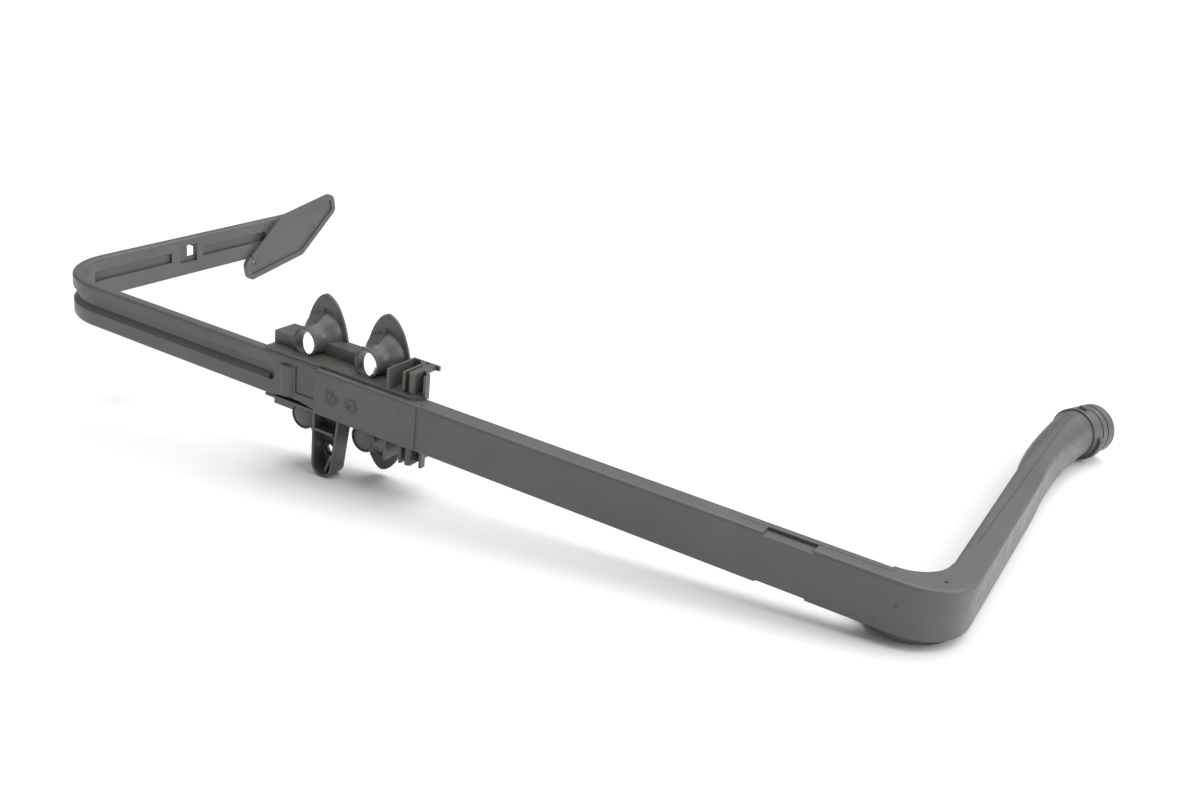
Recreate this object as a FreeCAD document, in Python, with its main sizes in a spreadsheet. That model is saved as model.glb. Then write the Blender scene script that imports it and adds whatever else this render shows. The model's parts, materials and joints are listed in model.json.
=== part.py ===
import FreeCAD, Part
import math
import os

import Sketcher

# Dishwasher water supply tube, in millimetres.
# The tube is drawn in its own axes: x runs down the column towards the sump, so a height above the
# lower leg is -x; y stands off the tub's rear wall; z runs across, with the tube's middle at 0.
# At the end every piece is turned together into the attitude in which the tube lies on a floor.

NODES_FOLDER = "parts"

SIZES = {
    # column, lower leg and elbow
    "overall_height": 595.8,
    "tube_width": 27.0,
    "column_depth": 12.3,
    "wall": 2.0,
    "edge_round": 1.8,
    "foot_bend": 28.0,
    "inner_bend": 21.0,
    "lower_leg_depth": 14.8,
    "square_end": 165.0,
    "oval_at": 225.0,
    "oval_depth": 20.0,
    "oval_width": 26.6,
    "oval_round": 8.5,
    "oval_shift": -0.6,
    "elbow_end": 276.3,
    "elbow_shift": -2.3,
    "elbow_rise": 1.0,
    "elbow_angle": 25.0,
    "pipe_radius": 14.2,
    "pipe_flat": 0.2,
    # spigot that plugs into the sump
    "spigot_radius": 15.2,
    "spigot_length": 21.0,
    "chamfer": 0.8,
    "groove_width": 1.0,
    "groove_depth": 0.8,
    "groove_pitch": 5.3,
    "groove_to_end": 7.2,
    "skirt_at": 3.2,
    "skirt_radius": 17.4,
    "skirt_width": 4.2,
    "bayonet_width": 5.0,
    "bayonet_length": 3.6,
    "bayonet_proud": 1.6,
    # neck between the column and the thin rail
    "neck_below_port": 15.7,
    "neck_above_port": 19.8,
    "neck_setback": 2.65,
    "neck_pocket_depth": 0.8,
    "neck_rib_above_port": 6.8,
    "neck_rib_radius": 5.5,
    "neck_rib_proud": 0.3,
    "neck_rib_top": 8.2,
    "neck_rib_foot": 3.8,
    "scallop_depth": 2.8,
    # rail of two ducts with a channel between them
    "rail_depth": 7.0,
    "rail_round": 1.8,
    "rail_wall": 1.6,
    "top_bend": 45.0,
    "upper_reach": 222.0,
    "channel_width": 9.4,
    "channel_middle": 0.8,
    "channel_depth": 3.0,
    "channel_slope": 3.4,
    "channel_tip": 4.6,
    "recess_depth": 2.2,
    "long_recess_start": 35.0,
    "long_recess_end": 101.6,
    "long_recess_low": -1.7,
    "long_recess_high": 5.2,
    "catch_recess_start": 109.0,
    "catch_recess_end": 124.4,
    "catch_recess_low": -3.9,
    "catch_recess_high": 8.6,
    "end_recess_start": 130.0,
    "end_recess_end": 192.0,
    "end_recess_low": -1.7,
    "end_recess_high": 5.4,
    "window_start": 117.2,
    "window_end": 124.4,
    "window_low": -1.0,
    # deflector plate
    "plate_thickness": 3.2,
    "plate_middle_y": 218.0,
    "plate_middle_z": -2.3,
    "plate_long_y": 58.0,
    "plate_long_z": 10.5,
    "plate_side_y": 37.0,
    "plate_side_z": 30.0,
    "plate_end_y": -3.5,
    "plate_end_z": 14.5,
    "plate_round": 6.0,
    "plate_rim": 4.0,
    "plate_dish": 1.2,
    "slit_length": 10.0,
    "slit_width": 1.3,
    "slit_angle": 35.5,
    "slit_y": 180.0,
    "slit_z": -18.5,
    # foot disc under the lower bend
    "disc_radius": 22.2,
    "disc_depth": 4.6,
    "disc_rim": 2.6,
    "disc_web": 1.8,
    # steps moulded in the column
    "notch_low": 69.5,
    "notch_high": 94.7,
    "notch_depth": 7.0,
    "notch_step": 1.7,
    "band_height": 292.0,
    "band_width": 2.6,
    "band_depth": 0.5,
    # docking station, tray and ports
    "fit_gap": 0.2,
    "port_low": 336.7,
    "port_pitch": 44.5,
    "dock_above_port": 23.8,
    "dock_below_port": 41.2,
    "dock_foot_slope": 15.5,
    "dock_front": 3.7,
    "dock_wall": 1.6,
    "dock_bevel": 6.0,
    "saddle_above_port": 17.2,
    "flange_plane": 25.5,
    "flange_thickness": 1.5,
    "flange_half_width": 19.5,
    "flange_half_height": 47.5,
    "socket_offset": 22.6,
    "socket_bore": 6.3,
    "rim_radius": 8.25,
    "rim_front": 9.0,
    "rim_width": 2.2,
    "neck_radius": 7.6,
    "flare_start": 14.0,
    "flare_radius": 14.6,
    "flare_bend": 15.6,
    "mouth_radius": 12.4,
    "mouth_bend": 17.0,
    "dome_radius": 8.0,
    "dome_front": 4.6,
    "dome_shell": 1.5,
    "gusset_top": 39.6,
    "gusset_thickness": 0.9,
    "block_front": 17.0,
    "block_height": 7.4,
    "block_shell": 1.5,
    "end_block_front": 11.0,
    "outlet_bore": 5.0,
    "outlet_wall": 2.4,
    "seal_thickness": 1.2,
    # docking station, screw lug
    "lug_above_port": 32.4,
    "lug_round": 7.6,
    "lug_drop": 30.4,
    "lug_spread": 4.2,
    "lug_shell": 1.6,
    "lug_back": 14.5,
    "screw_hole": 2.4,
    "screw_below_lug_top": 6.1,
    "screw_drop": 39.0,
    "screw_boss": 4.4,
    "foot_rib_reach": 6.5,
    "bar_drop": 24.0,
    # docking station, clip housing
    "rib_thickness": 1.7,
    "rib_height": 11.8,
    "rib_above_foot": 6.0,
    "fin_below_foot": 2.5,
    "clip_column_below_foot": 7.0,
    "clip_column_radius": 2.2,
    "clip_front": 6.5,
    "strip_height": 2.7,
    "wing_above_bottom": 4.1,
}

doc = FreeCAD.newDocument("dishwasher_water_supply_tube")
sheet = doc.addObject("Spreadsheet::Sheet", "Sizes")
for row, (alias, value) in enumerate(SIZES.items(), start=1):
    sheet.set("A%d" % row, alias)
    sheet.set("B%d" % row, str(value))
    sheet.setAlias("B%d" % row, alias)
doc.recompute()


class Size:
    """A length with its present number and the sheet expression that it follows."""

    def __init__(self, number, text):
        self.number = float(number)
        self.text = text

    def __add__(self, other):
        other = as_size(other)
        return Size(self.number + other.number, "(%s + %s)" % (self.text, other.text))

    def __radd__(self, other):
        return as_size(other) + self

    def __sub__(self, other):
        other = as_size(other)
        return Size(self.number - other.number, "(%s - %s)" % (self.text, other.text))

    def __rsub__(self, other):
        return as_size(other) - self

    def __mul__(self, other):
        other = as_size(other)
        return Size(self.number * other.number, "(%s * %s)" % (self.text, other.text))

    def __rmul__(self, other):
        return as_size(other) * self

    def __truediv__(self, other):
        other = as_size(other)
        return Size(self.number / other.number, "(%s / %s)" % (self.text, other.text))

    def __neg__(self):
        return Size(-self.number, "(0 - %s)" % self.text)


def as_size(value):
    return value if isinstance(value, Size) else Size(value, "%.6g" % value)


def cell(alias):
    return Size(SIZES[alias], "Sizes.%s" % alias)


def bind(obj, prop, value):
    obj.setExpression(prop, as_size(value).text)


def place(obj, x, y, z):
    for axis, value in zip("xyz", (x, y, z)):
        bind(obj, "Placement.Base.%s" % axis, value)


# Primitives whose sizes and places follow the sheet

TURNED_TO = {
    "x": FreeCAD.Rotation(FreeCAD.Vector(0, 1, 0), 90),
    "y": FreeCAD.Rotation(FreeCAD.Vector(1, 0, 0), -90),
    "z": FreeCAD.Rotation(),
}


def block(name, x, y, z):
    """A box between three pairs of limits."""
    obj = doc.addObject("Part::Box", name)
    for prop, (low, high) in zip(("Length", "Width", "Height"), (x, y, z)):
        bind(obj, prop, as_size(high) - low)
    place(obj, x[0], y[0], z[0])
    return obj


def rod(name, axis, start, length, radius):
    """A cylinder that starts at a point and runs along one axis."""
    obj = doc.addObject("Part::Cylinder", name)
    obj.Placement = FreeCAD.Placement(FreeCAD.Vector(), TURNED_TO[axis])
    bind(obj, "Radius", radius)
    bind(obj, "Height", length)
    place(obj, *start)
    return obj


def fused(name, pieces):
    obj = doc.addObject("Part::MultiFuse", name)
    obj.Shapes = pieces
    return obj


def cut(name, base, tool):
    obj = doc.addObject("Part::Cut", name)
    obj.Base = base
    obj.Tool = tool
    return obj


def carved(name, base, tools):
    """The base with each tool taken away in turn."""
    steps = ["%s_step_%d" % (name, number) for number in range(1, len(tools))] + [name]
    for step, tool in zip(steps, tools):
        base = cut(step, base, tool)
        base.Refine = False
    return base


# Sketches: closed outlines and open paths, every corner bound to the sheet

ORIGIN, START, END = -1, 1, 2
X_AXIS, Y_AXIS = -1, -2


def new_sketch(body, name, role, offset):
    sketch = body.newObject("Sketcher::SketchObject", name)
    plane = [item for item in body.Origin.OriginFeatures if item.Role == role][0]
    sketch.AttachmentSupport = [(plane, "")]
    sketch.MapMode = "FlatFace"
    bind(sketch, "AttachmentOffset.Base.z", offset)
    return sketch


def pin_point(sketch, edge, end, x, y, label):
    """Hold one end of an edge at a place given by two sizes."""
    for kind, value, axis in (("DistanceX", x, Y_AXIS), ("DistanceY", y, X_AXIS)):
        value = as_size(value)
        if value.text == "0":
            sketch.addConstraint(Sketcher.Constraint("PointOnObject", edge, end, axis))
            continue
        rule = Sketcher.Constraint(kind, ORIGIN, START, edge, end, value.number)
        index = sketch.addConstraint(rule)
        constraint = "%s_%s" % (label, kind[-1].lower())
        sketch.renameConstraint(index, constraint)
        bind(sketch, "Constraints.%s" % constraint, value)


def arc_between(start, end, radius, turns_left):
    """The short arc of a radius from one point to another, drawn counter-clockwise."""
    chord = end - start
    half = chord.Length / 2
    rise = math.sqrt(max(radius * radius - half * half, 0.0))
    normal = FreeCAD.Vector(-chord.y, chord.x, 0).normalize()
    centre = (start + end) / 2 + normal * (rise if turns_left else -rise)
    first, last = (start, end) if turns_left else (end, start)
    angles = [math.atan2((p - centre).y, (p - centre).x) for p in (first, last)]
    circle = Part.Circle(centre, FreeCAD.Vector(0, 0, 1), radius)
    return Part.ArcOfCircle(circle, angles[0], angles[1])


def draw(body, name, role, offset, corners, closed=True):
    """A sketch through corners (x, y) or (x, y, radius); a radius bends the edge that follows,
    to the left where it is positive and to the right where the third value is a negated size."""
    sketch = new_sketch(body, name, role, offset)
    points = [FreeCAD.Vector(as_size(c[0]).number, as_size(c[1]).number, 0) for c in corners]
    count = len(corners) if closed else len(corners) - 1
    heads = []
    for i in range(count):
        start, end = points[i], points[(i + 1) % len(points)]
        if len(corners[i]) == 2:
            sketch.addGeometry(Part.LineSegment(start, end), False)
            heads.append((START, END))
            continue
        bend = as_size(corners[i][2])
        turns_left = bend.number > 0
        sketch.addGeometry(arc_between(start, end, abs(bend.number), turns_left), False)
        heads.append((START, END) if turns_left else (END, START))
        index = sketch.addConstraint(Sketcher.Constraint("Radius", i, abs(bend.number)))
        sketch.renameConstraint(index, "bend_%d" % i)
        bind(sketch, "Constraints.bend_%d" % i, bend if turns_left else -bend)
    for i in range(count if closed else count - 1):
        after = (i + 1) % count
        joined = Sketcher.Constraint("Coincident", i, heads[i][1], after, heads[after][0])
        sketch.addConstraint(joined)
    for i in range(count):
        pin_point(sketch, i, heads[i][0], corners[i][0], corners[i][1], "corner_%d" % i)
    if not closed:
        pin_point(sketch, count - 1, heads[-1][1], corners[-1][0], corners[-1][1], "corner_end")
    return sketch


def rounded(middle_x, middle_y, width, depth, radius):
    """Corners of a rectangle with rounded edges, counter-clockwise."""
    left, right = middle_x - width / 2, middle_x + width / 2
    low, high = middle_y - depth / 2, middle_y + depth / 2
    return [
        (left + radius, low),
        (right - radius, low, radius),
        (right, low + radius),
        (right, high - radius, radius),
        (right - radius, high),
        (left + radius, high, radius),
        (left, high - radius),
        (left, low + radius, radius),
    ]


def new_body(name):
    return doc.addObject("PartDesign::Body", name)


def sweep(body, name, profile, spine):
    pipe = body.newObject("PartDesign::AdditivePipe", name)
    pipe.Profile = profile
    pipe.Spine = (spine, [])
    return pipe


def loft(body, name, first, others):
    feature = body.newObject("PartDesign::AdditiveLoft", name)
    feature.Profile = first
    feature.Sections = others
    return feature


def pad(body, name, sketch, length, midplane=False):
    feature = body.newObject("PartDesign::Pad", name)
    feature.Profile = sketch
    feature.Midplane = midplane
    bind(feature, "Length", length)
    return feature


def turned(name, corners, x, z):
    """A solid of revolution about an axis along y, from a half outline of (radius, y) corners."""
    body = new_body(name)
    sketch = draw(body, name + "_outline", "XY_Plane", 0, corners)
    feature = body.newObject("PartDesign::Revolution", name + "_turn")
    feature.Profile = sketch
    feature.ReferenceAxis = (sketch, ["V_Axis"])
    feature.Angle = 360
    place(body, x, 0, z)
    return body


# Driving sizes used below

height = cell("overall_height")
width = cell("tube_width")
side = width / 2
depth = cell("column_depth")
wall = cell("wall")
foot_bend = cell("foot_bend")
leg_depth = cell("lower_leg_depth")
leg_middle = -leg_depth / 2
pipe_radius = cell("pipe_radius")
port_low = cell("port_low")
port_high = port_low + cell("port_pitch")
ports = {"upper": port_high, "lower": port_low}
box_top = port_high - cell("neck_below_port")
neck_top = port_high + cell("neck_above_port")
setback = cell("neck_setback")
rail_depth = cell("rail_depth")
top_bend = cell("top_bend")
upper_reach = cell("upper_reach")
fit_gap = cell("fit_gap")
elbow_angle = cell("elbow_angle")
elbow_x, elbow_y, elbow_rise = cell("elbow_shift"), cell("elbow_end"), cell("elbow_rise")


# Column, lower leg and elbow: the same form twice, as the shell and, smaller, as the waterway

def conduit(name, inset):
    """The column from the neck to the elbow's end, with every wall moved in by inset."""
    body = new_body(name)
    middle = depth / 2
    bend = cell("edge_round") - inset / 2
    path = draw(body, name + "_path", "XY_Plane", 0, [
        (-box_top, middle),
        (-foot_bend, middle, foot_bend - middle),
        (-middle, foot_bend),
    ], closed=False)
    section = rounded(middle, 0, depth - 2 * inset, width - 2 * inset, bend)
    start = draw(body, name + "_section", "YZ_Plane", -box_top, section)
    sweep(body, name + "_column", start, path)

    # the inner corner is thicker than the outer one is, with a wider bend
    inner = cell("inner_bend")
    face = -leg_depth + inset
    web = draw(body, name + "_corner", "XY_Plane", 0, [
        (-leg_depth - inner, depth - inset, inner + inset),
        (face, depth + inner),
        (-middle, depth + inner),
        (-middle, foot_bend, middle - foot_bend),
        (-foot_bend, middle),
        (-leg_depth - inner, middle),
    ])
    pad(body, name + "_corner_web", web, width - 2 * inset, midplane=True)

    def across_leg(label, at, middle_x, thick, wide, bend):
        corners = rounded(middle_x, 0, thick - 2 * inset, wide - 2 * inset, bend)
        return draw(body, name + label, "XZ_Plane", -at, corners)

    leg_start = across_leg("_leg_start", foot_bend, leg_middle, leg_depth, width, bend)
    square = across_leg("_square_end", cell("square_end"), leg_middle, leg_depth, width, bend)
    loft(body, name + "_flat_leg", leg_start, [square])
    oval = across_leg(
        "_oval", cell("oval_at"), leg_middle + cell("oval_shift"), cell("oval_depth"),
        cell("oval_width"), cell("oval_round") - inset)
    bore = 2 * (pipe_radius - inset)
    ring = draw(
        body, name + "_ring", "XZ_Plane", -elbow_y,
        rounded(0, 0, bore, bore, pipe_radius - inset - cell("pipe_flat") / 2))
    ring.AttachmentOffset.Rotation = FreeCAD.Rotation(FreeCAD.Vector(0, -1, 0), 1)
    for prop, value in (("Base.x", elbow_x), ("Base.y", elbow_rise), ("Rotation.Angle", elbow_angle)):
        bind(ring, "AttachmentOffset." + prop, value)
    loft(body, name + "_round_leg", square, [oval, ring])
    return body


shell = conduit("column_shell", as_size(0))
waterway = conduit("column_waterway", wall)


# Neck between the column and the rail, with its upright rib, pocket and scalloped lower edge

neck_rib_radius = cell("neck_rib_radius")
neck_rib_front = -cell("neck_rib_proud")
passage_start = neck_top - cell("channel_tip") - wall

neck = new_body("neck_shell")
neck_section = draw(
    neck, "neck_section", "YZ_Plane", -neck_top,
    rounded((setback + depth) / 2, 0, depth - setback, width, cell("edge_round")))
pad(neck, "neck_pad", neck_section, neck_top - box_top + wall / 2)

scallop_depth = cell("scallop_depth")
neck_passage = block(
    "neck_passage",
    (-passage_start, -box_top + wall / 2),
    (setback + wall, depth - wall),
    (-side + wall + scallop_depth, side - wall),
)
neck_rib_at = port_high + cell("neck_rib_above_port")
neck_rib = rod(
    "neck_rib", "z",
    (-neck_rib_at, neck_rib_front + neck_rib_radius, -side + cell("neck_rib_foot")),
    side + cell("neck_rib_top") - cell("neck_rib_foot"), neck_rib_radius,
)
neck_pocket = block(
    "neck_pocket",
    (-neck_rib_at + neck_rib_radius + wall / 2, -box_top - wall / 2),
    (-wall, setback + cell("neck_pocket_depth")),
    (-side / 2, cell("neck_rib_top") + wall),
)
scallop_half = (neck_top - box_top) / 2
scallop_radius = scallop_half * scallop_half / (2 * scallop_depth) + scallop_depth / 2
scallop = rod(
    "neck_scallop", "y",
    (-(neck_top + box_top) / 2, -wall, -side - scallop_radius + scallop_depth),
    depth + 2 * wall, scallop_radius,
)


# Rail: the thin stretch over the top, two ducts with a channel between them

def along_rail(name, start, corners, end):
    """A section in (y, z) swept from a height on the column to a reach on the upper leg."""
    body = new_body(name)
    middle = setback + rail_depth / 2
    path = draw(body, name + "_path", "XY_Plane", 0, [
        (-start, middle),
        (-height + top_bend, middle, -(top_bend + setback - middle)),
        (-height + rail_depth / 2, setback + top_bend),
        (-height + rail_depth / 2, end),
    ], closed=False)
    section = draw(body, name + "_section", "YZ_Plane", -start, corners)
    sweep(body, name + "_sweep", section, path)
    return body


def span(low_y, high_y, low_z, high_z):
    return [(low_y, low_z), (high_y, low_z), (high_y, high_z), (low_y, high_z)]


channel_low = cell("channel_middle") - cell("channel_width") / 2
channel_high = cell("channel_middle") + cell("channel_width") / 2
channel_floor = setback + cell("channel_depth")
rail_wall = cell("rail_wall")
duct_low, duct_high = setback + rail_wall, setback + rail_depth - rail_wall
past_end = upper_reach + wall

rail = along_rail(
    "rail_shell", neck_top - wall / 2,
    rounded(setback + rail_depth / 2, 0, rail_depth, width, cell("rail_round")), upper_reach)
channel = along_rail(
    "rail_channel", neck_top, [
        (setback - wall, channel_low),
        (setback, channel_low),
        (channel_floor, channel_low + cell("channel_slope")),
        (channel_floor, channel_high),
        (setback - wall, channel_high),
    ], past_end)
lower_duct = along_rail(
    "rail_lower_duct", passage_start - wall,
    span(duct_low, duct_high, -side + rail_wall, channel_low - rail_wall), past_end)
upper_duct = along_rail(
    "rail_upper_duct", passage_start - wall,
    span(duct_low, duct_high, channel_high + rail_wall, side - rail_wall), past_end)

channel_tip = new_body("channel_tip")
tip_outline = draw(channel_tip, "channel_tip_outline", "XZ_Plane", -channel_floor, [
    (-neck_top - wall / 2, channel_low),
    (-neck_top + cell("channel_tip") / 2, channel_low),
    (-neck_top + cell("channel_tip"), cell("channel_middle")),
    (-neck_top, channel_high),
    (-neck_top - wall / 2, channel_high),
])
pad(channel_tip, "channel_tip_pad", tip_outline, channel_floor)

# recesses in the upper leg's inner face, with one window through the web
leg_face = -height + rail_depth
recesses = [
    block(
        label,
        (leg_face - cell("recess_depth"), leg_face + wall),
        (cell(label + "_start"), cell(label + "_end")),
        (cell(label + "_low"), cell(label + "_high")),
    )
    for label in ("long_recess", "catch_recess", "end_recess")
]
window = block(
    "catch_window",
    (-height - wall, leg_face + wall),
    (cell("window_start"), cell("window_end")),
    (cell("window_low"), cell("catch_recess_high")),
)
duct_stop = block(
    "duct_stop",
    (-height, leg_face),
    (cell("catch_recess_start") - rail_wall, cell("window_end") + rail_wall),
    (channel_high, side),
)
trimmed_upper_duct = cut("trimmed_upper_duct", upper_duct, duct_stop)


# Deflector plate at the end of the upper leg, the same outline turned half round

def plate_corners():
    """Corners of the deflector, from three edge vectors that run out and back."""
    edges = [(cell("plate_%s_y" % e), cell("plate_%s_z" % e)) for e in ("long", "side", "end")]
    y = cell("plate_middle_y") - (edges[0][0] + edges[1][0] + edges[2][0]) / 2
    z = cell("plate_middle_z") - (edges[0][1] + edges[1][1] + edges[2][1]) / 2
    corners = []
    for sign in (1, -1):
        for edge_y, edge_z in edges:
            corners.append((y, z))
            y = y + edge_y * sign
            z = z + edge_z * sign
    return corners


plate = new_body("deflector_plate")
plate_outline = draw(plate, "deflector_outline", "YZ_Plane", leg_face, plate_corners())
plate_pad = pad(plate, "deflector_pad", plate_outline, cell("plate_thickness"))
doc.recompute()
upright_edges = [
    "Edge%d" % number for number, edge in enumerate(plate_pad.Shape.Edges, start=1)
    if abs(edge.tangentAt(edge.FirstParameter).x) > 0.99
]
plate_fillet = plate.newObject("PartDesign::Fillet", "deflector_corners")
plate_fillet.Base = (plate_pad, upright_edges)
bind(plate_fillet, "Radius", cell("plate_round"))
doc.recompute()
front_face = [
    "Face%d" % number for number, face in enumerate(plate_fillet.Shape.Faces, start=1)
    if face.normalAt(0, 0).x > 0.99
]
panel = plate.newObject("PartDesign::SubShapeBinder", "deflector_panel")
panel.Support = [(plate_fillet, front_face)]
panel.OffsetOpenResult = False
bind(panel, "Offset", -cell("plate_rim"))
dish = plate.newObject("PartDesign::Pocket", "deflector_dish")
dish.Profile = panel
bind(dish, "Length", cell("plate_dish"))
plate.Tip = dish

slit = block(
    "deflector_slit",
    (leg_face - wall, leg_face + 2 * cell("plate_thickness")),
    (0, cell("slit_width")),
    (0, cell("slit_length")),
)
bind(slit, "Placement.Rotation.Angle", cell("slit_angle"))
slit.Placement.Rotation = FreeCAD.Rotation(FreeCAD.Vector(1, 0, 0), 1)
place(slit, leg_face - wall, cell("slit_y"), cell("slit_z"))


# Foot disc under the lower bend, a shallow cup

disc_low = -side - cell("disc_depth")
disc = rod(
    "foot_disc", "z", (-foot_bend, foot_bend, disc_low),
    cell("disc_depth") + wall / 2, cell("disc_radius"))
disc_hollow = rod(
    "foot_disc_hollow", "z", (-foot_bend, foot_bend, disc_low - wall),
    cell("disc_depth") - cell("disc_web") + wall, cell("disc_radius") - cell("disc_rim"))


# Steps in the column's faces, and the two outlets in its rear wall

notches = []
backings = []
for label, sign in (("upper", 1), ("lower", -1)):
    floor = side - cell("notch_step")
    outward = sorted((floor * sign, (side + wall) * sign), key=lambda s: s.number)
    inward = sorted(((floor - wall) * sign, side * sign), key=lambda s: s.number)
    notches.append(block(
        label + "_notch",
        (-cell("notch_high"), -cell("notch_low")), (-wall, cell("notch_depth")), outward))
    backings.append(block(
        label + "_notch_backing",
        (-cell("notch_high") - wall, -cell("notch_low") + wall),
        (0, cell("notch_depth") + wall), inward))
trimmed_waterway = cut("trimmed_waterway", waterway, fused("notch_backings", backings))
band = block(
    "band_groove",
    (-cell("band_height") - cell("band_width"), -cell("band_height")),
    (-wall, cell("band_depth")),
    (-side - wall, side + wall),
)
outlets = [
    rod(label + "_outlet", "y", (-at, depth - 2 * wall, 0), 3 * wall, cell("outlet_bore"))
    for label, at in ports.items()
]


# Spigot, drawn about its own axis along y and then set on the elbow's end

spigot_radius = cell("spigot_radius")
spigot_length = cell("spigot_length")
chamfer = cell("chamfer")
groove_floor = spigot_radius - cell("groove_depth")
spigot_corners = [(0, -wall / 4), (spigot_radius, -wall / 4)]
for ring_y in (
    spigot_length - cell("groove_to_end") - cell("groove_pitch"),
    spigot_length - cell("groove_to_end"),
):
    ring_low, ring_high = ring_y - cell("groove_width") / 2, ring_y + cell("groove_width") / 2
    spigot_corners += [(spigot_radius, ring_low), (groove_floor, ring_low)]
    spigot_corners += [(groove_floor, ring_high), (spigot_radius, ring_high)]
spigot_corners += [
    (spigot_radius, spigot_length - chamfer),
    (spigot_radius - chamfer, spigot_length),
    (0, spigot_length),
]
spigot_turn = turned("spigot_turn", spigot_corners, 0, 0)
skirt_y = cell("skirt_at")
skirt_radius = cell("skirt_radius")
skirt_ring = rod("skirt_ring", "y", (0, skirt_y, 0), cell("skirt_width"), skirt_radius)
skirt_keep = block(
    "skirt_keep",
    (-skirt_radius - wall, skirt_radius + wall),
    (skirt_y - wall, skirt_y + cell("skirt_width") + wall),
    (-skirt_radius - wall, 0),
)
skirt = doc.addObject("Part::Common", "skirt")
skirt.Base = skirt_ring
skirt.Tool = skirt_keep
lug_half = cell("bayonet_width") / 2
lug_reach = spigot_radius + cell("bayonet_proud")
lug_span = (skirt_y, skirt_y + cell("bayonet_length"))
top_bayonet = block("top_bayonet", (-lug_half, lug_half), lug_span, (0, lug_reach))
front_bayonet = block("front_bayonet", (0, lug_reach), lug_span, (-lug_half, lug_half))
spigot = fused("spigot", [spigot_turn, skirt, top_bayonet, front_bayonet])
bore_radius = pipe_radius - 0.75 * wall
spigot_bore = rod(
    "spigot_bore", "y", (0, -wall / 4, 0), spigot_length + wall, bore_radius)
lead_in = doc.addObject("Part::Cone", "spigot_lead_in")
lead_in.Placement = FreeCAD.Placement(FreeCAD.Vector(), TURNED_TO["y"])
bind(lead_in, "Radius1", bore_radius - chamfer)
bind(lead_in, "Radius2", bore_radius + chamfer)
bind(lead_in, "Height", 2 * chamfer)
place(lead_in, 0, spigot_length - chamfer, 0)
spigot_hollow = fused("spigot_hollow", [spigot_bore, lead_in])
for obj in (spigot, spigot_hollow):
    obj.Placement.Rotation = FreeCAD.Rotation(FreeCAD.Vector(0, 0, -1), 1)
    bind(obj, "Placement.Rotation.Angle", elbow_angle)
    place(obj, elbow_x, elbow_y, elbow_rise)


# The tube, one hollow moulding

tube_solid = fused(
    "tube_solid", [shell, neck, neck_rib, rail, plate, disc, spigot])
tube_hollows = fused("tube_hollows", [
    trimmed_waterway, neck_passage, spigot_hollow, lower_duct, trimmed_upper_duct,
])
tube_marks = fused("tube_marks", [
    channel, channel_tip, window, scallop, neck_pocket, disc_hollow, slit, band,
    *recesses, *notches, *outlets,
])
tube_open = cut("tube_open", tube_solid, tube_marks)
tube = cut("supply_tube", tube_open, tube_hollows)


# Docking station: a tray that straddles the column's rear and carries two ports

dock_wall = cell("dock_wall")
dock_top = port_high + cell("dock_above_port")
dock_bottom = port_low - cell("dock_below_port")
dock_foot = dock_bottom + cell("dock_foot_slope")
dock_front = cell("dock_front")
inner_side = side + fit_gap
tray_side = inner_side + dock_wall
flange_plane = cell("flange_plane")
plate_back = flange_plane + cell("flange_thickness")
behind = plate_back + wall
pitch = cell("port_pitch")
socket_offset = cell("socket_offset")
flare_start = cell("flare_start")
flare_radius = cell("flare_radius")
flare_bend = cell("flare_bend")
mouth_radius = cell("mouth_radius")
mouth_bend = cell("mouth_bend")
socket_bore = cell("socket_bore")


def turned_pair(name, corners, z):
    """Two like turned solids, one at each port, at a height across the tube."""
    body = turned(name, corners, -port_high, z)
    pair = body.newObject("PartDesign::LinearPattern", name + "_pair")
    pair.Originals = [body.Tip]
    pair.Direction = (body.Group[0], ["H_Axis"])
    pair.Occurrences = 2
    bind(pair, "Length", pitch)
    body.Tip = pair
    return body


tray = new_body("dock_tray")
tray_outline = draw(tray, "tray_outline", "XY_Plane", 0, [
    (-dock_top, dock_front),
    (-dock_bottom - cell("dock_bevel"), dock_front),
    (-dock_bottom, dock_front + cell("dock_bevel")),
    (-dock_bottom, depth),
    (-dock_foot, plate_back),
    (-dock_top, plate_back),
])
pad(tray, "tray_pad", tray_outline, 2 * tray_side, midplane=True)
tray_inside = block(
    "tray_inside",
    (-dock_top - wall, -dock_bottom + wall), (0, flange_plane), (-inner_side, inner_side))
saddles = [
    block(label, (-at - dock_wall, -at), (depth, flange_plane + wall / 2),
          (-inner_side - wall / 4, inner_side + wall / 4))
    for label, at in (
        ("upper_saddle", port_high + cell("saddle_above_port")), ("lower_saddle", dock_foot))
]

rim_front = cell("rim_front")
rim_radius = cell("rim_radius")
rim_back = rim_front + cell("rim_width")
funnels = turned_pair("funnels", [
    (0, rim_front),
    (rim_radius - chamfer, rim_front),
    (rim_radius, rim_front + chamfer),
    (rim_radius, rim_back),
    (cell("neck_radius"), rim_back),
    (cell("neck_radius"), flare_start, -flare_bend),
    (flare_radius, plate_back),
    (0, plate_back),
], socket_offset)
funnel_bores = turned_pair("funnel_bores", [
    (0, rim_front - wall),
    (socket_bore, rim_front - wall),
    (socket_bore, flare_start, -mouth_bend),
    (mouth_radius, plate_back),
    (mouth_radius, behind),
    (0, behind),
], socket_offset)
dome_radius = cell("dome_radius")
dome_front = cell("dome_front")
dome_inside = dome_radius - cell("dome_shell")
domes = turned_pair("domes", [
    (0, dome_front, dome_radius),
    (dome_radius, dome_front + dome_radius),
    (dome_radius, flare_start, -flare_bend),
    (flare_radius, plate_back),
    (0, plate_back),
], -socket_offset)
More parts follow.
